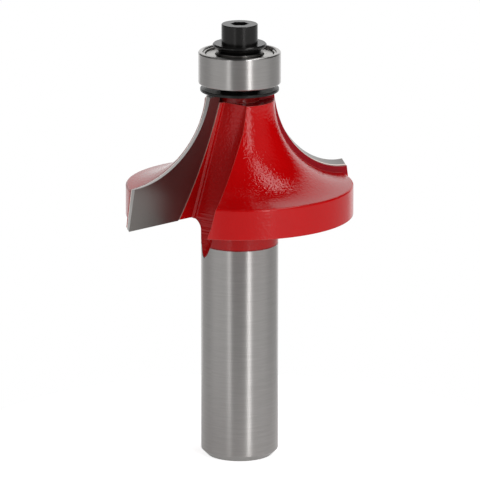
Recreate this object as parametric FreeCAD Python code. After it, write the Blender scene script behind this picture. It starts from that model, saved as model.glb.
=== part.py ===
# Two-flute roundover cutter for a router, with a ball bearing guide at its nose.
#
# Z runs up the tool's axis from the centre of the shank's end. The X axis lies
# along the two cutting faces, and each flute is the other turned half a turn.
# All sizes are in millimetres and degrees.

import FreeCAD
import Part

import math
import os

Vector = FreeCAD.Vector
ORIGIN = Vector(0, 0, 0)
UP = Vector(0, 0, 1)

# Shank
SHANK_DIAMETER = 12.0
SHANK_LENGTH = 37.8          # from the end to the underside of the cutter
SHANK_CHAMFER = 0.95
ROOT_FILLET = 1.8            # between the shank and the underside

# Cutting edge: a quarter round between the bearing's radius and the outside
ROUNDOVER_RADIUS = 12.7
STRAIGHT_EDGE = 6.97         # upright edge below the quarter round
LEAD_EDGE = 0.23             # upright edge above it
EDGE_SETBACK = 0.15          # quarter round inside the bearing's line, so it leaves no step
SHEAR_ANGLE = 14.8           # lean of the cutting face, in the plane of X's normal

# Carbide tips
TIP_THICKNESS = 1.7
TIP_RELIEF = 0.52            # how far the flank falls away over the thickness
TIP_WIDTH_TOP = 2.55         # face width at the top of the tip
TIP_INNER_MIDDLE = 1.35      # inner edge inside the bearing's radius at mid height
TIP_INNER_BOTTOM = 1.45      # and outside it at the underside
TIP_INNER_LEAN = 0.4         # lean of the inner edge where it leaves the tip's lower end
TIP_DROP = 0.1               # the tips reach this far below the underside
BRAZE_WIDTH = 0.2            # filler metal beside the inner edge
BACKING_THICKNESS = 0.4      # web of body metal behind the tip
BACKING_INSET = 0.05         # its edge inside the back of the flank

# Body between the gullets, turned to stay inside the cutting circle
BODY_SETBACK = 1.45          # its rim inside the straight edges
BODY_TOP_SETBACK = 0.95      # and its top inside the lead edges
BODY_TOP_DROP = 1.1          # top of the body below the top of the tips
BODY_ARC_DROP = 1.45         # and its rim below the bottom of the quarter round
RIM_ROUND = 0.3
RIM_LIFT = 0.8               # the underside rises outwards to the rim
UNDERSIDE_RADIUS = 9.0       # flat middle of the underside
OVERLAP = 0.5                # shank and neck run this far into the body

# Gullet in front of each tip, as left by a form cutter
CORNER_OFFSET = 4.6          # its corner at the underside, from the YZ plane
CORNER_TAPER = 4.0           # the web between the gullets thins upwards
CORNER_RADIUS = 0.25
LEDGE_HEIGHT = 0.3           # the corner stands proud of the cutting face
LEDGE_WIDTH = 0.42
FLOOR_WIDTH = 5.25
FLOOR_WIDTH_LOW = 4.75       # the heel closes in below the rim's top
FLOOR_DROP = 0.55            # the floor deepens towards the heel
HEEL_FLARE = 36.5            # heel wall against the floor's outward normal
HEEL_RADIUS = 2.5
RUNOUT_RADIUS = 20.0
RUNOUT_START = 1.0           # height above the underside where the floor turns out
RUNOUT_ANGLE = 40.0          # turn of the cutter's path, well clear of the shank
RUNOUT_STEPS = 8             # facets left along the run-out

# Nose: neck, dust disc and stud
NECK_HEIGHT = 0.3            # above the tips
NECK_RADIUS = 3.1
DISC_INSET = 0.27            # disc's rim inside the bearing's
DISC_EDGE = 0.08             # chamfer of its rim
DISC_THICKNESS = 0.45
HUB_HEIGHT = 0.75            # raised hub that carries the inner race
HUB_RADIUS = 3.1
FIT_CLEARANCE = 0.01
STUD_SHORTFALL = 0.28        # stud's end below the bearing's upper face
STUD_CHAMFER = 0.2

# Ball bearing
BEARING_DIAMETER = 12.7
BEARING_BORE = 4.7625
BEARING_WIDTH = 4.978
RACE_CORNER = 0.25
BALL_COUNT = 7
BALL_FILL = 0.6              # ball's diameter over the space between bore and rim
GROOVE_FIT = 1.05            # groove's radius over the ball's
BALL_CLEARANCE = 0.03
LAND_GAP = 0.72              # from the balls' circle to the land of either race
SHIELD_SEAT_DEPTH = 0.75     # shoulder for the shield, below the race's face
SEAT_WALL = 0.59             # outer race's wall at the shield
MOUTH_LIP = 0.1              # lip that keeps the snap ring in
MOUTH_DEPTH = 0.17
MOUTH_CHAMFER = 0.12
SHIELD_THICKNESS = 0.16
SHIELD_DISH = 0.14           # the dished middle stands this much above the flange
SHIELD_FLANGE = 0.56
SHIELD_GAP = 0.15            # running gap to the inner race
RIM_CLEARANCE = 0.06         # between the shield's flange and its seat
RING_WIRE = 0.4
RING_GAP_ANGLE = 24.0
CAGE_WALL = 0.9
CAGE_FLOOR = 0.32            # solid rim of the cage under its pockets
CAGE_HORN = 0.85             # height of its fingers above the balls' plane
POCKET_CLEARANCE = 0.05

# Screw and clamp washer
SCREW_DIAMETER = 3.0
SCREW_END_CHAMFER = 0.3
SCREW_LENGTH = 10.0
HEAD_DIAMETER = 5.6
HEAD_HEIGHT = 3.0
HEAD_CHAMFER = 0.1
SOCKET_WIDTH = 2.5           # across flats
SOCKET_DEPTH = 1.6
SOCKET_TURN = -43.3          # angle of one socket corner about Z
THREAD_CLEARANCE = 0.02
HOLE_EXTRA = 0.55            # drilled depth past the screw's end
DRILL_POINT = 118.0
WASHER_RADIUS = 4.16
WASHER_HEIGHT = 1.27
WASHER_FLANGE = 0.42
WASHER_EDGE = 0.1            # broken lower edge of its flange
WASHER_ROUND = 0.18
WASHER_FOOT_RADIUS = 3.15
WASHER_BORE = 3.2

# Heights and radii that follow
underside = SHANK_LENGTH
arc_bottom = underside + STRAIGHT_EDGE
arc_centre = arc_bottom + ROUNDOVER_RADIUS
tip_top = arc_centre + LEAD_EDGE
body_top = tip_top - BODY_TOP_DROP
rim_top = arc_bottom - BODY_ARC_DROP
neck_top = tip_top + NECK_HEIGHT
disc_top = neck_top + DISC_THICKNESS
bearing_bottom = disc_top + HUB_HEIGHT
bearing_middle = bearing_bottom + BEARING_WIDTH / 2
bearing_top = bearing_bottom + BEARING_WIDTH
stud_top = bearing_top - STUD_SHORTFALL
washer_top = bearing_top + WASHER_HEIGHT
shank_radius = SHANK_DIAMETER / 2
nose_radius = BEARING_DIAMETER / 2
disc_radius = nose_radius - DISC_INSET
cutting_radius = nose_radius + ROUNDOVER_RADIUS
rim_radius = cutting_radius - BODY_SETBACK
body_top_radius = nose_radius - BODY_TOP_SETBACK
stud_radius = BEARING_BORE / 2 - FIT_CLEARANCE
ball_radius = (BEARING_DIAMETER - BEARING_BORE) / 4 * BALL_FILL
pitch_radius = (BEARING_DIAMETER + BEARING_BORE) / 4
groove_radius = ball_radius * GROOVE_FIT
outer_land_radius = pitch_radius + LAND_GAP
inner_land_radius = pitch_radius - LAND_GAP
seat_radius = nose_radius - SEAT_WALL
mouth_radius = seat_radius - MOUTH_LIP
far = 1.4 * cutting_radius   # past every surface of the cutter
margin = OVERLAP * 3         # cutting shapes run this far past an end

# Directions of the cutting face on the +X side
shear = math.radians(SHEAR_ANGLE)
taper = math.radians(CORNER_TAPER)
face_normal = Vector(0, math.cos(shear), -math.sin(shear))
face_up = Vector(0, math.sin(shear), math.cos(shear))
corner_up = face_up * math.cos(taper) - Vector(1, 0, 0) * math.sin(taper)
corner_out = Vector(1, 0, 0) * math.cos(taper) + face_up * math.sin(taper)


# General shapes

def rounded(before, corner, after, radius):
    """Start, middle and end of the arc that rounds a corner of a 2-D outline."""
    to_before = (before - corner).normalize()
    to_after = (after - corner).normalize()
    half = to_before.getAngle(to_after) / 2
    reach = radius / math.tan(half)
    bisector = (to_before + to_after).normalize()
    middle = corner + bisector * (radius / math.sin(half) - radius)
    return corner + to_before * reach, middle, corner + to_after * reach


def outline(steps, place):
    """Closed wire through flat points. A step of two points is the middle and end of an arc."""
    edges = []
    start = here = steps[0]
    for step in steps[1:] + [start]:
        if isinstance(step, tuple):
            middle, end = step
            edges.append(Part.Arc(place(here), place(middle), place(end)).toShape())
        else:
            end = step
            if (end - here).Length > 1e-7:
                edges.append(Part.makeLine(place(here), place(end)))
        here = end
    return Part.Wire(edges)


def upright(point):
    """Radius and height as a point of the XZ plane."""
    return Vector(point.x, 0, point.y)


def turned(steps):
    """Solid of revolution about Z from an outline of radii and heights."""
    return Part.Face(outline(steps, upright)).revolve(ORIGIN, UP, 360)


def flat(radius, height):
    return Vector(radius, height, 0)


def slab(low, high):
    return Part.makeCylinder(2 * far, high - low, Vector(0, 0, low))


def half_turn(shape):
    other = shape.copy()
    other.rotate(ORIGIN, UP, 180)
    return other


# Cutting edge and carbide tips

def cutting_profile(inset):
    """Radii and heights of the cutting edge, moved inwards by an inset."""
    steps = 8
    arc_radius = ROUNDOVER_RADIUS + inset
    centre_radius = cutting_radius - EDGE_SETBACK
    points = [(centre_radius - arc_radius, tip_top + margin)]
    end_angle = math.acos(inset / arc_radius)
    for step in range(steps + 1):
        angle = end_angle * step / steps
        radius = centre_radius - arc_radius * math.cos(angle)
        points.append((radius, arc_centre - arc_radius * math.sin(angle)))
    return points


def on_face(radius, height, depth):
    """Point at a radius and height on the plane that lies a depth behind the cutting face."""
    y = (height - tip_top) * math.tan(shear) - depth / math.cos(shear)
    return Vector(math.sqrt(radius * radius - y * y), y, height)


def profile_wire(inset, depth):
    """Cutting profile closed towards the axis, on a plane behind the cutting face."""
    points = [on_face(r, z, depth) for r, z in cutting_profile(inset)]
    low = underside - margin
    outer = cutting_radius - inset
    side_start = on_face(outer, points[-1].z, depth)
    side_middle = on_face(outer, (side_start.z + low) / 2, depth)
    side_end = on_face(outer, low, depth)
    curve = Part.BSplineCurve()
    curve.interpolate(points[1:])
    inner_top = Vector(NECK_RADIUS / 2, points[0].y, points[0].z)
    inner_low = Vector(NECK_RADIUS / 2, side_end.y, low)
    edges = [
        Part.makeLine(inner_top, points[0]),
        Part.makeLine(points[0], points[1]),
        curve.toShape(),
        Part.makeLine(points[-1], side_start),
        Part.Arc(side_start, side_middle, side_end).toShape(),
        Part.makeLine(side_end, inner_low),
        Part.makeLine(inner_low, inner_top),
    ]
    return Part.Wire(edges)


def profile_plate(inset_front, inset_back, depth_front, depth_back):
    front = profile_wire(inset_front, depth_front)
    back = profile_wire(inset_back, depth_back)
    return Part.makeLoft([front, back], True, True)


def tip_seat(offset):
    """Everything in the tip's thickness outside its inner edge, moved outwards by an offset."""
    def inner(distance, height):
        point = on_face(far, height, 0)
        point.x = distance + offset
        return point

    middle = (underside + tip_top) / 2
    bottom = nose_radius + TIP_INNER_BOTTOM
    top = inner(nose_radius - TIP_WIDTH_TOP, tip_top)
    low = inner(bottom, underside)
    above = inner(nose_radius - TIP_WIDTH_TOP, tip_top + margin)
    below = inner(bottom + TIP_INNER_LEAN * margin, underside - margin)
    edges = [
        Part.makeLine(above, top),
        Part.Arc(top, inner(nose_radius - TIP_INNER_MIDDLE, middle), low).toShape(),
        Part.makeLine(low, below),
        Part.makeLine(below, Vector(far, below.y, below.z)),
        Part.makeLine(Vector(far, below.y, below.z), Vector(far, above.y, above.z)),
        Part.makeLine(Vector(far, above.y, above.z), above),
    ]
    face = Part.Face(Part.Wire(edges))
    return face.extrude(face_normal * -TIP_THICKNESS)


def carbide_tip():
    plate = profile_plate(0, TIP_RELIEF, 0, TIP_THICKNESS)
    return plate.common(tip_seat(BRAZE_WIDTH)).common(slab(underside - TIP_DROP, tip_top))


def braze_joint():
    strip = tip_seat(0).cut(tip_seat(BRAZE_WIDTH))
    return strip.common(slab(underside, body_top)).common(turned_body())


def backing_web():
    """Thin web of body metal that follows the back of the tip's flank."""
    inset = TIP_RELIEF + BACKING_INSET
    plate = profile_plate(inset, inset, TIP_THICKNESS, TIP_THICKNESS + BACKING_THICKNESS)
    return plate.common(slab(underside, tip_top - BACKING_THICKNESS))


# Body

def turned_body():
    """Body before the gullets are cut: a cove between its narrow top and its upright rim."""
    rise = body_top - rim_top
    run = rim_radius - body_top_radius
    cove = (run * run + rise * rise) / (2 * run)
    centre = flat(body_top_radius + cove, body_top)

    def on_cove(turn):
        return flat(centre.x - cove * math.cos(turn), centre.y - cove * math.sin(turn))

    full_turn = math.asin(rise / cove)
    cove_end = on_cove(full_turn - RIM_ROUND / cove)
    band_top = flat(rim_radius, rim_top - RIM_ROUND)
    crest = (cove_end + band_top) * 0.3 + flat(rim_radius, rim_top) * 0.4
    steps = [
        flat(0, body_top),
        flat(body_top_radius, body_top),
        (on_cove(full_turn / 2), cove_end),
        (crest, band_top),
        flat(rim_radius, underside + RIM_LIFT),
        flat(UNDERSIDE_RADIUS, underside),
        flat(0, underside),
    ]
    return turned(steps)


def gullet_section(climb, turn, width):
    """Outline of the form cutter where its path is a climb above the underside and turned outwards."""
    corner = on_face(far, underside, 0)
    corner.x = CORNER_OFFSET
    centre = corner + corner_up * climb + corner_out * RUNOUT_RADIUS
    outwards = corner_out * math.cos(turn) + corner_up * math.sin(turn)

    def place(point):
        return centre - outwards * (RUNOUT_RADIUS - point.x) + face_normal * point.y

    flare = math.tan(math.radians(HEEL_FLARE))
    heel_point = flat(-FLOOR_DROP, width)
    reach = cutting_radius + margin - CORNER_OFFSET
    heel_end = flat(reach, width + (reach + FLOOR_DROP) * flare)
    ledge_point = flat(0, LEDGE_HEIGHT)
    ledge_top = flat(LEDGE_WIDTH, LEDGE_HEIGHT)
    corner_start, corner_middle, corner_end = rounded(ledge_top, ledge_point, heel_point, CORNER_RADIUS)
    heel_start, heel_middle, heel_stop = rounded(ledge_point, heel_point, heel_end, HEEL_RADIUS)
    steps = [
        flat(reach, 0),
        flat(LEDGE_WIDTH + LEDGE_HEIGHT / 2, 0),
        ledge_top,
        corner_start,
        (corner_middle, corner_end),
        heel_start,
        (heel_middle, heel_stop),
        heel_end,
    ]
    return outline(steps, place)


def gullet():
    """What the form cutter removes before the tip: a straight pass that runs out into the shank."""
    sections = []
    for step in range(RUNOUT_STEPS, -1, -1):
        turn = math.radians(RUNOUT_ANGLE) * step / RUNOUT_STEPS
        sections.append(gullet_section(RUNOUT_START, turn, FLOOR_WIDTH_LOW))
    for climb in (rim_top - underside, tip_top - underside + far / 4):
        sections.append(gullet_section(climb, 0, FLOOR_WIDTH))
    return Part.makeLoft(sections, True, True)


def shank():
    steps = [
        flat(0, 0),
        flat(shank_radius - SHANK_CHAMFER, 0),
        flat(shank_radius, SHANK_CHAMFER),
        flat(shank_radius, underside - ROOT_FILLET),
        (
            flat(
                shank_radius + ROOT_FILLET * (1 - math.sqrt(0.5)),
                underside - ROOT_FILLET * (1 - math.sqrt(0.5)),
            ),
            flat(shank_radius + ROOT_FILLET, underside),
        ),
        flat(shank_radius + ROOT_FILLET, underside + OVERLAP),
        flat(0, underside + OVERLAP),
    ]
    return turned(steps)


def nose():
    """Neck under the dust disc, and the stud that carries the bearing."""
    steps = [
        flat(0, body_top - OVERLAP),
        flat(NECK_RADIUS, body_top - OVERLAP),
        flat(NECK_RADIUS, neck_top),
        flat(stud_radius, neck_top),
        flat(stud_radius, stud_top - STUD_CHAMFER),
        flat(stud_radius - STUD_CHAMFER, stud_top),
        flat(0, stud_top),
    ]
    return turned(steps)


def tapped_hole():
    radius = SCREW_DIAMETER / 2
    bottom = washer_top - SCREW_LENGTH - HOLE_EXTRA
    point = radius / math.tan(math.radians(DRILL_POINT / 2))
    steps = [
        flat(0, bottom - point),
        flat(radius, bottom),
        flat(radius, stud_top + margin),
        flat(0, stud_top + margin),
    ]
    return turned(steps)


def cutter_body():
    web = backing_web()
    body = turned_body().fuse([web, half_turn(web), shank()])
    for cut in (gullet(), tip_seat(0)):
        body = body.cut(cut).cut(half_turn(cut))
    body = body.fuse(nose()).cut(tapped_hole())
    return body.removeSplitter()


# Nose pieces

def dust_disc():
    bore = BEARING_BORE / 2
    steps = [
        flat(bore, neck_top),
        flat(disc_radius - DISC_EDGE, neck_top),
        flat(disc_radius, neck_top + DISC_EDGE),
        flat(disc_radius, disc_top - DISC_EDGE),
        flat(disc_radius - DISC_EDGE, disc_top),
        flat(HUB_RADIUS, disc_top),
        flat(HUB_RADIUS, bearing_bottom),
        flat(bore, bearing_bottom),
    ]
    return turned(steps)


def groove_tool(centre_radius):
    """Ring that cuts a ball groove into a race."""
    ring = Part.makeTorus(centre_radius, groove_radius)
    ring.translate(Vector(0, 0, bearing_middle))
    return ring


def outer_race():
    half = BEARING_WIDTH / 2
    seat = half - SHIELD_SEAT_DEPTH
    mouth = half - MOUTH_DEPTH
    slope = RACE_CORNER * (1 - math.sqrt(0.5))

    def at(radius, height):
        return flat(radius, bearing_middle + height)

    steps = [
        at(outer_land_radius, -seat),
        at(seat_radius, -seat),
        at(seat_radius, -mouth),
        at(mouth_radius, -mouth),
        at(mouth_radius, MOUTH_CHAMFER - half),
        at(mouth_radius + MOUTH_CHAMFER, -half),
        at(nose_radius - RACE_CORNER, -half),
        (at(nose_radius - slope, slope - half), at(nose_radius, RACE_CORNER - half)),
        at(nose_radius, half - RACE_CORNER),
        (at(nose_radius - slope, half - slope), at(nose_radius - RACE_CORNER, half)),
        at(mouth_radius + MOUTH_CHAMFER, half),
        at(mouth_radius, half - MOUTH_CHAMFER),
        at(mouth_radius, mouth),
        at(seat_radius, mouth),
        at(seat_radius, seat),
        at(outer_land_radius, seat),
    ]
    groove = pitch_radius + ball_radius + BALL_CLEARANCE - groove_radius
    return turned(steps).cut(groove_tool(groove))


def inner_race():
    bore = BEARING_BORE / 2
    corner = RACE_CORNER * 0.7
    slope = corner * (1 - math.sqrt(0.5))
    outer = inner_land_radius
    steps = [
        flat(bore, bearing_bottom + corner / 2),
        flat(bore + corner / 2, bearing_bottom),
        flat(outer - corner, bearing_bottom),
        (flat(outer - slope, bearing_bottom + slope), flat(outer, bearing_bottom + corner)),
        flat(outer, bearing_top - corner),
        (flat(outer - slope, bearing_top - slope), flat(outer - corner, bearing_top)),
        flat(bore + corner / 2, bearing_top),
        flat(bore, bearing_top - corner / 2),
    ]
    groove = pitch_radius - ball_radius - BALL_CLEARANCE + groove_radius
    return turned(steps).cut(groove_tool(groove))


def ball_centre(index):
    angle = 2 * math.pi * index / BALL_COUNT
    return Vector(pitch_radius * math.cos(angle), pitch_radius * math.sin(angle), bearing_middle)


def ball(index):
    return Part.makeSphere(ball_radius, ball_centre(index))


def ball_cage():
    """Crown cage: a solid rim below the balls, with fingers that rise between them."""
    inner = pitch_radius - CAGE_WALL / 2
    outer = pitch_radius + CAGE_WALL / 2
    low = bearing_middle - ball_radius - CAGE_FLOOR
    high = bearing_middle + CAGE_HORN
    steps = [flat(inner, low), flat(outer, low), flat(outer, high), flat(inner, high)]
    cage = turned(steps)
    for index in range(BALL_COUNT):
        cage = cage.cut(Part.makeSphere(ball_radius + POCKET_CLEARANCE, ball_centre(index)))
    return cage


def mirrored(shape):
    return shape.mirror(Vector(0, 0, bearing_middle), UP)


def shield():
    """Pressed shield on the bearing's upper side."""
    seat = bearing_top - SHIELD_SEAT_DEPTH
    dish = seat + SHIELD_DISH
    inner = inner_land_radius + SHIELD_GAP
    outer = seat_radius - RIM_CLEARANCE
    bend = seat_radius - SHIELD_FLANGE
    steps = [
        flat(inner, dish),
        flat(bend - SHIELD_THICKNESS, dish),
        flat(bend, seat),
        flat(outer, seat),
        flat(outer, seat + SHIELD_THICKNESS),
        flat(bend + SHIELD_THICKNESS / 2, seat + SHIELD_THICKNESS),
        flat(bend - SHIELD_THICKNESS / 2, dish + SHIELD_THICKNESS),
        flat(inner, dish + SHIELD_THICKNESS),
    ]
    return turned(steps)


def snap_ring():
    """Open wire ring that holds the upper shield down in its seat."""
    wire = RING_WIRE / 2
    radius = seat_radius - RIM_CLEARANCE - wire
    height = bearing_top - SHIELD_SEAT_DEPTH + SHIELD_THICKNESS + wire
    section = Part.Face(Part.Wire(Part.makeCircle(wire, Vector(radius, 0, height), Vector(0, 1, 0))))
    return section.revolve(ORIGIN, UP, 360 - RING_GAP_ANGLE)


def clamp_washer():
    bore = WASHER_BORE / 2
    flange_low = washer_top - WASHER_FLANGE
    steps = [
        flat(bore, bearing_top),
        flat(WASHER_FOOT_RADIUS, bearing_top),
        flat(WASHER_RADIUS - WASHER_EDGE, flange_low),
        flat(WASHER_RADIUS, flange_low + WASHER_EDGE),
        flat(WASHER_RADIUS, washer_top - WASHER_ROUND),
        flat(WASHER_RADIUS - WASHER_ROUND, washer_top),
        flat(bore, washer_top),
    ]
    return turned(steps)


def cap_screw():
    radius = SCREW_DIAMETER / 2 - THREAD_CLEARANCE
    head_radius = HEAD_DIAMETER / 2
    end = washer_top - SCREW_LENGTH
    top = washer_top + HEAD_HEIGHT
    steps = [
        flat(0, end),
        flat(radius - SCREW_END_CHAMFER, end),
        flat(radius, end + SCREW_END_CHAMFER),
        flat(radius, washer_top),
        flat(head_radius, washer_top),
        flat(head_radius, top - HEAD_CHAMFER),
        flat(head_radius - HEAD_CHAMFER, top),
        flat(0, top),
    ]
    socket_radius = SOCKET_WIDTH / math.sqrt(3)
    socket_low = top - SOCKET_DEPTH
    corners = []
    for corner in range(6):
        angle = math.radians(SOCKET_TURN + 60 * corner)
        corners.append(Vector(socket_radius * math.cos(angle), socket_radius * math.sin(angle), socket_low))
    hexagon = Part.Face(Part.makePolygon(corners + corners[:1]))
    socket = hexagon.extrude(Vector(0, 0, SOCKET_DEPTH + margin))
    drill = Part.makeCone(0, SOCKET_WIDTH / 2, SOCKET_WIDTH / 4, Vector(0, 0, socket_low - SOCKET_WIDTH / 4))
    return turned(steps).cut(socket).cut(drill)


def all_nodes():
    tip = carbide_tip()
    braze = braze_joint()
    upper_shield = shield()
    upper_ring = snap_ring()
    nodes = {
        "cutter_body": cutter_body(),
        "carbide_tip_1": tip,
        "carbide_tip_2": half_turn(tip),
        "braze_joint_1": braze,
        "braze_joint_2": half_turn(braze),
        "dust_disc": dust_disc(),
        "bearing_outer_race": outer_race(),
        "bearing_inner_race": inner_race(),
        "ball_cage": ball_cage(),
        "shield_upper": upper_shield,
        "shield_lower": mirrored(upper_shield),
        "snap_ring_upper": upper_ring,
        "snap_ring_lower": mirrored(upper_ring),
        "clamp_washer": clamp_washer(),
        "cap_screw": cap_screw(),
    }
    for index in range(BALL_COUNT):
        nodes["ball_%d" % (index + 1)] = ball(index)
    return nodes


def main():
    os.makedirs("parts", exist_ok=True)
    for name, shape in all_nodes().items():
        shape.exportStep("parts/%s.step" % name)
        box = shape.BoundBox
        print(
            "%-20s solids %d valid %s volume %9.2f  z %.2f to %.2f"
            % (name, len(shape.Solids), shape.isValid(), shape.Volume, box.ZMin, box.ZMax)
        )


main()
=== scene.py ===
import math

import bpy
from bpy.props import FloatProperty, FloatVectorProperty, PointerProperty
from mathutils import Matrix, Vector


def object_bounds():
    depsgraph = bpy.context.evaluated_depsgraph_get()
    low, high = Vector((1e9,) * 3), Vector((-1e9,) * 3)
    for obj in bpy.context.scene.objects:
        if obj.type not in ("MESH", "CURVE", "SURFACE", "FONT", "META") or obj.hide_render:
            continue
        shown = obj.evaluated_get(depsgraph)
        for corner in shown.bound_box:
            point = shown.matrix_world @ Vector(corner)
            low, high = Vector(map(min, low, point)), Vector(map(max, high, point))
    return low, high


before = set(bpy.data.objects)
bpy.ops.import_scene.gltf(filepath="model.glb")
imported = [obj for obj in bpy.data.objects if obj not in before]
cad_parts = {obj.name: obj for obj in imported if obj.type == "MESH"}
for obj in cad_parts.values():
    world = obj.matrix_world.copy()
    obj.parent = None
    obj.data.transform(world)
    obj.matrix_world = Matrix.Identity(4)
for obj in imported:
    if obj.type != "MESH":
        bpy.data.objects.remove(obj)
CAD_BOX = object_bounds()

bl_info = {
    "name": "Roundover router bit",
    "version": (1, 0, 0),
    "blender": (4, 5, 0),
    "location": "3D View > Sidebar > Router Bit",
    "description": "Finishes for a two-flute roundover router bit, and its photo studio",
    "category": "Object",
}

MM = 0.001

# Places on the tool, in millimetres. Heights are above the shank's end.
SHANK_RADIUS = 6.0
SCOOP_DEPTH = 0.06           # deeper in the shank than this is a run-out or the end's chamfer
SCOOP_HEIGHT = 28.0          # above this, it is a run-out
CHATTER_FULL = 36.0          # the milling cutter chattered most from here down
UNDERSIDE = 37.7             # just below the body's underside
CHATTER_TOP = 39.0
RIM_TOP = 43.2               # upper end of the upright rim
COVE_LOW = 45.0              # where the cove has taken over from the rim
BODY_TOP = 56.6
TIP_TOP = 57.7
TIP_THICKNESS = 1.7
SHEAR = math.radians(14.8)   # lean of the cutting faces
BALLS = 7

# The photograph's frame, in pixels
FRAME_WIDTH = 480
AXIS_OFFSET = 0.4            # the tool's axis is this far left of the middle

# Kinds of node
BUMP = "ShaderNodeBump"
JOIN = "ShaderNodeCombineXYZ"
MATH = "ShaderNodeMath"
MIX = "ShaderNodeMix"
NOISE = "ShaderNodeTexNoise"
OUTPUT = "ShaderNodeOutputMaterial"
PRINCIPLED = "ShaderNodeBsdfPrincipled"
RANGE = "ShaderNodeMapRange"
SPLIT = "ShaderNodeSeparateXYZ"
VECTOR = "ShaderNodeVectorMath"


def linear(code):
    """Linear colour of an sRGB hex value."""
    channels = []
    for start in (1, 3, 5):
        value = int(code[start : start + 2], 16) / 255
        channels.append(value / 12.92 if value <= 0.04045 else ((value + 0.055) / 1.055) ** 2.4)
    return (*channels, 1.0)


def colour(name, description, code):
    """Colour that a user may change."""
    return FloatVectorProperty(
        name=name,
        description=description,
        default=linear(code),
        subtype="COLOR",
        size=4,
        min=0.0,
        max=1.0,
    )


def add(tree, kind, links=(), **settings):
    """Adds a node, with its settings and what goes into it.

    The links are by the name or number of the input, or in their order. Each is a value,
    an output, or a node, of which the first output in use is taken.
    """
    node = tree.nodes.new(kind)
    for name, value in settings.items():
        setattr(node, name, value)
    for name, value in links.items() if isinstance(links, dict) else enumerate(links):
        if isinstance(value, bpy.types.Node):
            value = next(output for output in value.outputs if output.enabled)
        if isinstance(value, bpy.types.NodeSocket):
            tree.links.new(value, node.inputs[name])
        else:
            node.inputs[name].default_value = value
    return node


def new_material(name):
    """Material with no nodes yet."""
    material = bpy.data.materials.new(name)
    material.use_nodes = True
    material.node_tree.nodes.clear()
    return material


def give(material, *nodes):
    """Gives CAD nodes their finished material."""
    for name in nodes:
        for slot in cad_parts[name].material_slots:
            slot.material = material


def around_axis(tree):
    """Position, distance from the tool's axis, angle about it and height, in millimetres."""
    place = add(tree, "ShaderNodeTexCoord").outputs["Object"]
    place = add(tree, VECTOR, {0: place, "Scale": 1 / MM}, operation="SCALE")
    x, y, z = add(tree, SPLIT, (place,)).outputs
    radius = add(tree, VECTOR, (add(tree, JOIN, (x, y, 0.0)),), operation="LENGTH")
    angle = add(tree, MATH, (y, x), operation="ARCTAN2")
    return place, radius, angle, z


def ring_noise(tree, radius, angle, z, spacing, detail=2.0):
    """Streaks round the tool's axis, as a lathe or a grinder leaves them.

    The spacing is in millimetres.
    """
    # A radian counts as 0.3 mm, which draws the streaks out along the rings.
    along = add(tree, MATH, (angle, 0.3), operation="MULTIPLY")
    rings = add(tree, JOIN, (radius, along, z))
    return add(tree, NOISE, {"Vector": rings, "Scale": 1 / spacing, "Detail": detail})


def behind_face(tree, place):
    """Depth behind the plane of the cutting face on the same side of the tool, in millimetres."""
    x, y, z = add(tree, SPLIT, (place,)).outputs
    level = add(tree, MATH, (y, add(tree, MATH, (x,), operation="SIGN")), operation="MULTIPLY")
    slope = math.sin(SHEAR)
    lean = add(tree, MATH, (z, slope, -TIP_TOP * slope), operation="MULTIPLY_ADD")
    return add(tree, MATH, (level, -math.cos(SHEAR), lean), operation="MULTIPLY_ADD")


class ROUTERBIT_PG_coating(bpy.types.PropertyGroup):
    red: colour("Red", "Colour of the baked coating", "#C00407")
    deep_red: colour("Deep red", "Colour where the coating is thick", "#B60305")
    # This colour also stands for painted shade, on the collar below the body and under the disc.
    bead: colour("Bead", "Colour where the coating ends, and in the dark under the disc", "#3A0403")
    # Painted shade: the webs' crimson is darker than the coating, in place of their shade.
    painted_web_shade: colour("Crimson", "Colour of the webs behind the tips", "#8E0B18")
    # Painted highlight: this pale pink is painted on sharp edges in place of their glint.
    painted_edge_highlight: colour("Worn edges", "Colour where the coating is thin on an edge", "#E0706A")
    line_height: FloatProperty(
        name="Coating line",
        description="Height on the shank where the coating stops",
        default=33.85 * MM,
        unit="LENGTH",
        precision=4,
    )
    peel_size: FloatProperty(
        name="Orange peel",
        description="Width of the small bumps in the coating, in millimetres",
        default=0.42,
        min=0.05,
    )
    turning_pitch: FloatProperty(
        name="Turning lines",
        description="Distance between the lathe's lines under the coating, in millimetres",
        default=0.35,
        min=0.05,
    )
    milling_pitch: FloatProperty(
        name="Milling ripples",
        description="Distance between the ripples on the milled faces, in millimetres",
        default=0.45,
        min=0.05,
    )


class ROUTERBIT_PG_metal(bpy.types.PropertyGroup):
    steel: colour("Ground steel", "Colour of the shank and the outer race", "#BFBDBB")
    steel_dark: colour("Ground steel, dark", "Colour between the grinding lines", "#A6A3A1")
    carbide: colour("Carbide", "Colour of the cutting tips", "#8F8B88")
    carbide_dark: colour("Carbide, dark", "Colour of the binder between the grains", "#827E7B")
    black: colour("Black oxide", "Colour of the screw and the washer", "#292827")
    black_dark: colour("Black oxide, thick", "Colour where the oxide is thick", "#1D1C1C")
    line_spacing: FloatProperty(
        name="Grinding lines",
        description="Spacing of the grinding lines, in millimetres",
        default=0.16,
        min=0.02,
    )


class ROUTERBIT_PG_studio(bpy.types.PropertyGroup):
    camera_azimuth: FloatProperty(
        name="Camera azimuth",
        description="Direction of the camera about the tool's axis",
        default=math.radians(-133.3),
        subtype="ANGLE",
    )
    camera_elevation: FloatProperty(
        name="Camera elevation",
        description="Height of the camera as an angle",
        default=math.radians(14.2),
        subtype="ANGLE",
    )
    camera_distance: FloatProperty(
        name="Camera distance",
        description="From the camera to the middle of the tool",
        default=840.5 * MM,
        unit="LENGTH",
    )
    lens: FloatProperty(
        name="Lens",
        description="Focal length on a 36 mm sensor, in millimetres",
        default=406.91,
        min=1.0,
    )
    floor_radius: FloatProperty(
        name="Floor radius",
        description="Radius of the round card that the tool stands on",
        default=45 * MM,
        unit="LENGTH",
    )
    fill: FloatProperty(
        name="Fill",
        description="Even light from the room all round",
        default=0.46,
        min=0.0,
    )


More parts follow.
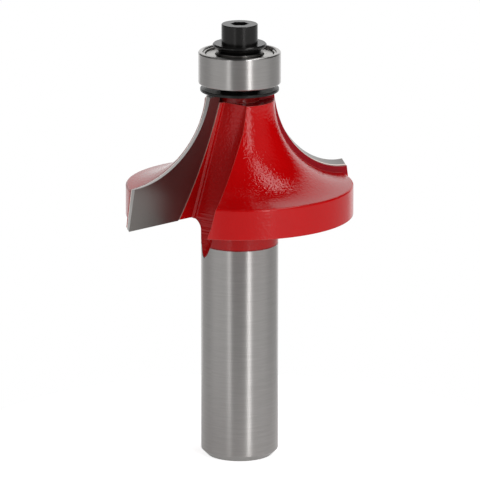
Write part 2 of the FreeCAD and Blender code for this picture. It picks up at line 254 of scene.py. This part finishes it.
def ground_steel(tree, radius, angle, z):
    """Cylindrically ground tool steel.

    Its fine rings draw each reflection out along the tool's axis, so the lamps
    show as upright stripes with soft sides.
    """
    metal = bpy.context.scene.router_bit_metal
    # Real grinding lines are about 0.02 mm apart. They are drawn wider so that they show.
    lines = ring_noise(tree, radius, angle, z, metal.line_spacing, 3.0)
    tone = add(tree, MIX, {0: lines, 6: metal.steel_dark, 7: metal.steel}, data_type="RGBA")
    relief = add(tree, BUMP, {"Height": lines, "Strength": 0.15, "Distance": 0.01 * MM})
    return add(
        tree,
        PRINCIPLED,
        {
            "Base Color": tone,
            "Metallic": 1.0,
            "Roughness": add(tree, RANGE, {0: lines, 3: 0.27, 4: 0.37}),
            "Anisotropic": 0.85,
            "Anisotropic Rotation": 0.25,
            "Normal": relief,
            "Tangent": add(tree, "ShaderNodeTangent", direction_type="RADIAL", axis="Z"),
        },
    )


def tool_marks(tree, place, radius, z, facing):
    """Height of the lathe's lines and the milling cutter's ripples under the coating.

    Real lines are finer. They are drawn as coarse as they need to be to show.
    """
    settings = bpy.context.scene.router_bit_coating
    rings = ring_noise(tree, radius, 0.0, z, settings.turning_pitch)
    rings = add(tree, MATH, (rings, 0.4), operation="MULTIPLY")
    # A turned face looks straight away from the axis or at it. A milled one looks aside.
    x, y, _ = add(tree, SPLIT, (place,)).outputs
    around = add(tree, JOIN, (add(tree, MATH, (y, -1.0), operation="MULTIPLY"), x, 0.0))
    around = add(tree, VECTOR, (around,), operation="NORMALIZE")
    aside = add(tree, VECTOR, (facing, around), operation="DOT_PRODUCT")
    aside = add(tree, MATH, (aside,), operation="ABSOLUTE")
    milled = add(tree, RANGE, (aside, 0.1, 0.3))
    along = add(tree, MATH, (z, 1 / settings.milling_pitch), operation="MULTIPLY")
    ripples = add(tree, NOISE, {"W": along, "Scale": 1.0}, noise_dimensions="1D")
    ripples = add(tree, MATH, (ripples, milled), operation="MULTIPLY")
    # The cutter chattered where it left the metal, low in the gullets.
    chatter = add(tree, RANGE, (z, CHATTER_TOP, CHATTER_FULL, 1.0, 3.2))
    ripples = add(tree, MATH, (ripples, chatter), operation="MULTIPLY")
    return add(tree, MATH, (rings, ripples), operation="MAXIMUM")


def coating_red(tree, place, radius, z, facing, edges):
    """Colour of the coating.

    Sharp edges get a painted highlight of pale pink. It is dark where it builds up at its end, and
    painted shade darkens it on the coated collar below the body and under the disc.
    """
    settings = bpy.context.scene.router_bit_coating
    line = settings.line_height / MM
    cloud = add(tree, NOISE, {"Vector": place, "Scale": 0.35, "Detail": 3.0})
    red = add(tree, MIX, {0: cloud, 6: settings.deep_red, 7: settings.red}, data_type="RGBA")

    bead = add(tree, RANGE, (z, line + 0.35, line + 0.1, 0.0, 0.6))
    # Painted shade: the coated collar below the body's underside is darkened a little, for the
    # shade the body casts on it.
    painted_root_shade = add(tree, MATH, (z, UNDERSIDE), operation="LESS_THAN")
    painted_root_shade = add(tree, MATH, (painted_root_shade, 0.2), operation="MULTIPLY")
    dark = add(tree, MATH, (bead, painted_root_shade), operation="MAXIMUM")
    outside = add(tree, MATH, (radius, SHANK_RADIUS - SCOOP_DEPTH), operation="GREATER_THAN")
    dark = add(tree, MATH, (dark, outside), operation="MULTIPLY")
    # Painted shade: the top of the body and the neck under the disc are darkened, for the shade of
    # the disc.
    painted_recess_shade = add(tree, RANGE, (z, BODY_TOP - 0.1, BODY_TOP + 0.02, 0.0, 0.65))
    dark = add(tree, MATH, (dark, painted_recess_shade), operation="MAXIMUM")
    red = add(tree, MIX, {0: dark, 6: red, 7: settings.bead}, data_type="RGBA")

    # Painted shade: the webs, a thin layer behind the tips, are darkened to crimson. Below the
    # rim's top there is none.
    depth = behind_face(tree, place)
    painted_web_shade_mask = add(tree, MATH, (depth, TIP_THICKNESS + 0.25, 0.3), operation="COMPARE")
    high = add(tree, MATH, (z, RIM_TOP - 0.2), operation="GREATER_THAN")
    painted_web_shade_mask = add(tree, MATH, (painted_web_shade_mask, high), operation="MULTIPLY")
    red = add(tree, MIX, {0: painted_web_shade_mask, 6: red, 7: settings.painted_web_shade}, data_type="RGBA")

    # Painted highlight: at sharp edges, where the rounded normal turns from the face, the colour is
    # painted pale pink in place of the edges' glint.
    sharp = add(tree, VECTOR, (edges, facing), operation="DOT_PRODUCT")
    painted_edge_highlight = add(tree, RANGE, (sharp, 0.985, 0.88, 0.0, 0.65))
    return add(tree, MIX, {0: painted_edge_highlight, 6: red, 7: settings.painted_edge_highlight}, data_type="RGBA")


def baked_coating(tree, place, radius, z):
    """Baked fluoropolymer coating over turned and milled steel.

    It is glossy with a low index, so it stays deep red in front and turns pink where it
    mirrors the backdrop at a low angle. Orange peel breaks the lamps' reflections into
    grains, and the lathe's lines show through it.
    """
    settings = bpy.context.scene.router_bit_coating
    facing = add(tree, "ShaderNodeNewGeometry").outputs["Normal"]
    # Real edges are broken, so the shader rounds them.
    edges = add(tree, "ShaderNodeBevel", {"Radius": 0.14 * MM}, samples=8)
    marks = tool_marks(tree, place, radius, z, facing)
    relief = add(tree, BUMP, {"Height": marks, "Distance": 0.04 * MM, "Normal": edges})
    # Real orange peel is a little finer. The spray settled roughly on the cove, and
    # smoothly, with less gloss, on the upright rim and the root below it.
    roughly = add(tree, RANGE, (z, RIM_TOP, COVE_LOW, 0.3, 1.0))
    peel = add(tree, NOISE, {"Vector": place, "Scale": 1 / settings.peel_size, "Detail": 2.0})
    peel = add(tree, MATH, (peel, roughly), operation="MULTIPLY")
    relief = add(tree, BUMP, {"Height": peel, "Distance": 0.068 * MM, "Normal": relief})
    return add(
        tree,
        PRINCIPLED,
        {
            "Base Color": coating_red(tree, place, radius, z, facing, edges),
            "Roughness": add(tree, RANGE, (roughly, 0.3, 1.0, 0.2, 0.05)),
            "IOR": 1.38,
            "Normal": relief,
        },
    )


def coated_and_ground_body():
    """Red coating down to a slightly wavy line and into the run-outs, and bare steel below."""
    material = new_material("fluoropolymer_coating_baked_red")
    tree = material.node_tree
    place, radius, angle, z = around_axis(tree)
    line = bpy.context.scene.router_bit_coating.line_height / MM
    wave = add(tree, NOISE, {"Vector": place, "Scale": 0.8, "Detail": 2.0})
    wavy = add(tree, MATH, (wave, 0.1, z), operation="MULTIPLY_ADD")
    above = add(tree, MATH, (wavy, line + 0.05), operation="GREATER_THAN")
    inside = add(tree, MATH, (radius, SHANK_RADIUS - SCOOP_DEPTH), operation="LESS_THAN")
    high = add(tree, MATH, (z, SCOOP_HEIGHT), operation="GREATER_THAN")
    scoop = add(tree, MATH, (inside, high), operation="MULTIPLY")
    coated = add(tree, MATH, (above, scoop), operation="MAXIMUM")
    steel = ground_steel(tree, radius, angle, z)
    coating = baked_coating(tree, place, radius, z)
    add(tree, OUTPUT, {"Surface": add(tree, "ShaderNodeMixShader", (coated, steel, coating))})
    return material


def grained(name, dark, light, roughness, grain, metallic=1.0, bump=0.15, filler=None):
    """Even surface with a fine grain, the size of which is in millimetres.

    A filler is the colour of the braze that wets a tip's flank along its back.
    """
    material = new_material(name)
    tree = material.node_tree
    place = around_axis(tree)[0]
    # Real grains are finer. They are drawn as coarse as they need to be to show.
    noise = add(tree, NOISE, {"Vector": place, "Scale": 1 / grain, "Detail": 3.0})
    base = add(tree, MIX, {0: noise, 6: dark, 7: light}, data_type="RGBA")
    if filler is not None:
        depth = behind_face(tree, place)
        wetted = add(tree, MATH, (depth, TIP_THICKNESS - 0.24), operation="GREATER_THAN")
        base = add(tree, MIX, {0: wetted, 6: base, 7: filler}, data_type="RGBA")
    relief = add(tree, BUMP, {"Height": noise, "Strength": bump, "Distance": 0.02 * MM})
    shader = add(
        tree,
        PRINCIPLED,
        {
            "Base Color": base,
            "Metallic": metallic,
            "Roughness": add(tree, RANGE, {0: noise, 3: roughness * 0.8, 4: roughness * 1.25}),
            "Normal": relief,
        },
    )
    add(tree, OUTPUT, {"Surface": shader})
    return material


class ROUTERBIT_OT_body(bpy.types.Operator):
    """Coats the cutter's body and grinds its shank"""

    bl_idname = "router_bit.body"
    bl_label = "Coat the body"

    def execute(self, context):
        give(coated_and_ground_body(), "cutter_body")
        return {"FINISHED"}


class ROUTERBIT_OT_tips(bpy.types.Operator):
    """Finishes the carbide tips and their brazed joints"""

    bl_idname = "router_bit.tips"
    bl_label = "Grind the tips"

    def execute(self, context):
        metal = context.scene.router_bit_metal
        # Ground cemented carbide: a dark grey mirror with a little haze, and pale at a low
        # angle. The filler shows as a bright line along the back of its flank.
        carbide = grained(
            "cemented_carbide_ground",
            metal.carbide_dark,
            metal.carbide,
            roughness=0.3,
            grain=0.12,
            metallic=0.94,
            filler=linear("#F0DDD4"),
        )
        give(carbide, "carbide_tip_1", "carbide_tip_2")
        # Silver braze filler: a dull, pale yellow line.
        dark, light = linear("#A7978C"), linear("#C4B5A9")
        braze = grained("silver_braze_filler", dark, light, 0.45, 0.2, metallic=0.5)
        give(braze, "braze_joint_1", "braze_joint_2")
        return {"FINISHED"}


class ROUTERBIT_OT_bearing(bpy.types.Operator):
    """Finishes the races, the balls, the cage, the shields and the snap rings"""

    bl_idname = "router_bit.bearing"
    bl_label = "Finish the bearing"

    def execute(self, context):
        # Ground bearing steel: the same upright stripes as on the shank.
        ground = new_material("bearing_steel_ground")
        tree = ground.node_tree
        _, radius, angle, z = around_axis(tree)
        add(tree, OUTPUT, {"Surface": ground_steel(tree, radius, angle, z)})
        give(ground, "bearing_outer_race")
        # Bearing steel with painted shade: darker and plain, for the shade of the washer.
        dark, light = linear("#6A6866"), linear("#807E7B")
        turned = grained("bearing_steel_painted_shade", dark, light, 0.3, 0.15)
        give(turned, "bearing_inner_race")
        # Pressed stainless sheet: bright and a little wavy.
        dark, light = linear("#A5A3A0"), linear("#BCBAB7")
        pressed = grained("stainless_sheet_pressed", dark, light, 0.25, 0.3)
        give(pressed, "shield_upper", "shield_lower")
        # Drawn spring wire: a bright thin line between two dark gaps.
        dark, light = linear("#A5A3A0"), linear("#BAB8B5")
        wire = grained("spring_wire_drawn", dark, light, 0.28, 0.1)
        give(wire, "snap_ring_upper", "snap_ring_lower")
        # Lapped balls: clear mirrors.
        dark, light = linear("#CFCECB"), linear("#DAD9D7")
        lapped = grained("bearing_steel_lapped", dark, light, 0.06, 0.5, bump=0.02)
        give(lapped, *["ball_%d" % number for number in range(1, BALLS + 1)])
        # Moulded nylon: pale amber with a soft sheen.
        dark, light = linear("#B99F78"), linear("#C8B08A")
        nylon = grained("nylon_moulded", dark, light, 0.45, 0.25, metallic=0.0)
        give(nylon, "ball_cage")
        return {"FINISHED"}


class ROUTERBIT_OT_nose(bpy.types.Operator):
    """Blackens the dust disc, the clamp washer and the cap screw"""

    bl_idname = "router_bit.nose"
    bl_label = "Blacken the nose pieces"

    def execute(self, context):
        metal = context.scene.router_bit_metal
        # Black oxide, oiled: nearly black in front, with soft grey stripes from the lamps.
        dark, light = metal.black_dark, metal.black
        oiled = grained("steel_black_oxide_oiled", dark, light, 0.24, 0.15, metallic=0.6)
        give(oiled, "clamp_washer", "cap_screw")
        # The disc is duller: black oxide left dry.
        dark, light = linear("#131212"), linear("#1C1B1B")
        dry = grained("steel_black_oxide_dry", dark, light, 0.28, 0.15, metallic=0.4)
        give(dry, "dust_disc")
        return {"FINISHED"}


def middle():
    """Point on the tool's axis at half its height."""
    low, high = CAD_BOX
    return Vector((0.0, 0.0, (low.z + high.z) / 2))


def towards(azimuth, elevation, distance):
    """Point seen from the tool's middle, at angles in degrees.

    The azimuth counts from the camera's direction to the viewer's right.
    """
    turn = bpy.context.scene.router_bit_studio.camera_azimuth + math.radians(azimuth)
    rise = math.radians(elevation)
    level = distance * math.cos(rise)
    offset = (level * math.cos(turn), level * math.sin(turn), distance * math.sin(rise))
    return middle() + Vector(offset)


def aimed(name, data, place):
    """Lamp or camera that points at the tool's middle."""
    obj = bpy.data.objects.new(name, data)
    bpy.context.scene.collection.objects.link(obj)
    obj.location = place
    obj.rotation_euler = (middle() - place).to_track_quat("-Z", "Y").to_euler()
    return obj


def softbox(name, azimuth, elevation, width, height, brightness, distance=0.7):
    """Rectangular lamp, with angles in degrees and lengths in metres.

    Its brightness is what it shows in a mirror, where 1 is white.
    """
    data = bpy.data.lights.new(name, "AREA")
    data.shape = "RECTANGLE"
    data.size = width
    data.size_y = height
    data.energy = brightness * math.pi * width * height
    return aimed(name, data, towards(azimuth, elevation, distance))


class ROUTERBIT_OT_studio(bpy.types.Operator):
    """Builds the floor, the white backdrop, the lamps and the camera"""

    bl_idname = "router_bit.studio"
    bl_label = "Build the studio"

    def execute(self, context):
        scene = context.scene
        studio = scene.router_bit_studio
        scene.view_settings.view_transform = "Standard"
        self.backdrop(scene, studio)
        self.floor(scene, studio)
        # Two strips draw the stripes on the steel, and a panel lights the tool from above.
        softbox("strip_right", 28, 20, 0.12, 0.74, 5.2)
        softbox("strip_left", -30, 10, 0.12, 0.68, 1.0)
        softbox("panel_above", 95, 66, 0.68, 0.13, 4.2)
        # A broad key light, kept out of the reflections.
        softbox("key_front", 38, -6, 0.7, 0.7, 1.5, 0.9).visible_glossy = False
        camera = bpy.data.cameras.new("photo_camera")
        camera.sensor_width = 36.0
        camera.lens = studio.lens
        camera.clip_start = 0.01
        camera.clip_end = 10.0
        camera.shift_x = AXIS_OFFSET / FRAME_WIDTH
        place = towards(0, math.degrees(studio.camera_elevation), studio.camera_distance)
        scene.camera = aimed("photo_camera", camera, place)
        return {"FINISHED"}

    def backdrop(self, scene, studio):
        """World: white wherever it is seen, and behind the tool also in its reflections.

        The rest of the room is dim in reflections, with a pale table below. Of the numbers
        in a soft step, the first is where it starts and the second where it is full.
        """
        world = bpy.data.worlds.new("white_backdrop")
        scene.world = world
        world.use_nodes = True
        tree = world.node_tree
        tree.nodes.clear()
        soft = {"interpolation_type": "SMOOTHSTEP"}
        direction = add(tree, "ShaderNodeTexCoord").outputs["Generated"]
        turn = studio.camera_azimuth
        away = (-math.cos(turn), -math.sin(turn), 0.0)
        right = (-math.sin(turn), math.cos(turn), 0.0)
        depth = add(tree, VECTOR, (direction, away), operation="DOT_PRODUCT")
        side = add(tree, VECTOR, (direction, right), operation="DOT_PRODUCT")
        side = add(tree, MATH, (side,), operation="ABSOLUTE")
        height = add(tree, SPLIT, (direction,)).outputs[2]

        # The backdrop is a flat wall. It is as wide to each side as two thirds of its
        # distance, and as high as it is far.
        far = add(tree, MATH, (depth,), operation="ABSOLUTE")
        far = add(tree, MATH, (far, 0.01), operation="MAXIMUM")
        across = add(tree, MATH, (side, far), operation="DIVIDE")
        up = add(tree, MATH, (height, far), operation="DIVIDE")
        wide = add(tree, RANGE, (across, 0.74, 0.58), **soft)
        tall = add(tree, RANGE, (up, 1.15, 0.95), **soft)
        wall = add(tree, MATH, (wide, tall), operation="MULTIPLY")
        behind = add(tree, RANGE, (depth, 0.0, 0.05), **soft)
        wall = add(tree, MATH, (wall, behind), operation="MULTIPLY")
        # Below, the table is darker where the camera and its stand shade it, and palest to
        # the sides.
        front = add(tree, RANGE, (depth, 0.3, -0.3), **soft)
        sides = add(tree, RANGE, (across, 0.36, 0.6), **soft)
        pale = add(tree, MATH, (front, 0.18, 0.12), operation="MULTIPLY_ADD")
        table = add(tree, MATH, (sides, pale, 0.5), operation="MULTIPLY_ADD")
        below = add(tree, RANGE, (height, 0.0, -0.12), **soft)
        table = add(tree, MATH, (below, table), operation="MULTIPLY")
        # In front, the room shows to the sides and is dark round the camera and overhead.
        overhead = add(tree, RANGE, (height, 0.95, 0.7), **soft)
        room = add(tree, MATH, (sides, overhead), operation="MULTIPLY")
        room = add(tree, MATH, (room, 0.28, 0.04), operation="MULTIPLY_ADD")
        room = add(tree, MATH, (room, front), operation="MULTIPLY")
        shown = add(tree, MATH, (table, room), operation="MAXIMUM")
        shown = add(tree, MATH, (wall, shown), operation="MAXIMUM")

        path = add(tree, "ShaderNodeLightPath").outputs
        rays = (path["Is Glossy Ray"], path["Is Transmission Ray"])
        mirrored = add(tree, MATH, rays, operation="MAXIMUM")
        reflected = add(tree, MATH, (mirrored, shown), operation="MULTIPLY")
        white = add(tree, MATH, (path["Is Camera Ray"], reflected), operation="MAXIMUM")
        # The fill is what dull surfaces get. It is stronger from below, off the table.
        dull = add(tree, MATH, (1.0, mirrored), operation="SUBTRACT")
        lower = add(tree, RANGE, (height, 0.5, -0.1), **soft)
        lower = add(tree, MATH, (lower, 0.6, 0.65), operation="MULTIPLY_ADD")
        fill = add(tree, MATH, (dull, lower), operation="MULTIPLY")
        fill = add(tree, MATH, (fill, studio.fill), operation="MULTIPLY")
        strength = add(tree, MATH, (white, fill), operation="MAXIMUM")
        light = add(tree, "ShaderNodeBackground", (linear("#FFFFFF"), strength))
        add(tree, "ShaderNodeOutputWorld", {"Surface": light})

    def floor(self, scene, studio):
        """Small matt card that keeps the tool's shadow and melts into the backdrop.

        It glows where it is seen, and faintly in reflections.
        """
        material = new_material("white_card_matt")
        tree = material.node_tree
        path = add(tree, "ShaderNodeLightPath").outputs
        matt = add(tree, "ShaderNodeBsdfDiffuse", {"Color": linear("#E8E8E8")})
        glow = add(tree, "ShaderNodeEmission", {"Color": linear("#FFFFFF"), "Strength": 0.75})
        lit = add(tree, "ShaderNodeAddShader", (matt, glow))
        faint = add(tree, MATH, (path["Is Glossy Ray"], 0.35), operation="MULTIPLY")
        seen = add(tree, MATH, (faint, path["Is Transmission Ray"]), operation="MAXIMUM")
        seen = add(tree, MATH, (path["Is Camera Ray"], seen), operation="MAXIMUM")
        card = add(tree, "ShaderNodeMixShader", (seen, matt, lit))
        add(tree, OUTPUT, {"Surface": card})
        mesh = bpy.data.meshes.new("floor")
        sides = 96
        corners = []
        for step in range(sides):
            turn = 2 * math.pi * step / sides
            x = studio.floor_radius * math.cos(turn)
            y = studio.floor_radius * math.sin(turn)
            corners.append((x, y, 0.0))
        mesh.from_pydata(corners, [], [list(range(sides))])
        mesh.materials.append(material)
        floor = bpy.data.objects.new("floor", mesh)
        floor.location.z = CAD_BOX[0].z
        scene.collection.objects.link(floor)


OPERATORS = (
    ROUTERBIT_OT_body,
    ROUTERBIT_OT_tips,
    ROUTERBIT_OT_bearing,
    ROUTERBIT_OT_nose,
    ROUTERBIT_OT_studio,
)

GROUPS = {
    "router_bit_coating": ROUTERBIT_PG_coating,
    "router_bit_metal": ROUTERBIT_PG_metal,
    "router_bit_studio": ROUTERBIT_PG_studio,
}


class ROUTERBIT_PT_panel(bpy.types.Panel):
    """Lists the finishes and the studio"""

    bl_label = "Router Bit"
    bl_idname = "ROUTERBIT_PT_panel"
    bl_space_type = "VIEW_3D"
    bl_region_type = "UI"
    bl_category = "Router Bit"

    def draw(self, context):
        layout = self.layout
        for place in GROUPS:
            group = getattr(context.scene, place)
            box = layout.box()
            for name in group.bl_rna.properties.keys():
                if name not in {"rna_type", "name"}:
                    box.prop(group, name)
        for operator in OPERATORS:
            layout.operator(operator.bl_idname)


def register():
    for name, group in GROUPS.items():
        bpy.utils.register_class(group)
        setattr(bpy.types.Scene, name, PointerProperty(type=group))
    for operator in OPERATORS:
        bpy.utils.register_class(operator)
    bpy.utils.register_class(ROUTERBIT_PT_panel)


def unregister():
    bpy.utils.unregister_class(ROUTERBIT_PT_panel)
    for operator in reversed(OPERATORS):
        bpy.utils.unregister_class(operator)
    for name, group in reversed(GROUPS.items()):
        delattr(bpy.types.Scene, name)
        bpy.utils.unregister_class(group)


def main():
    register()
    bpy.ops.router_bit.body()
    bpy.ops.router_bit.tips()
    bpy.ops.router_bit.bearing()
    bpy.ops.router_bit.nose()
    bpy.ops.router_bit.studio()


if __name__ == "__main__":
    main()
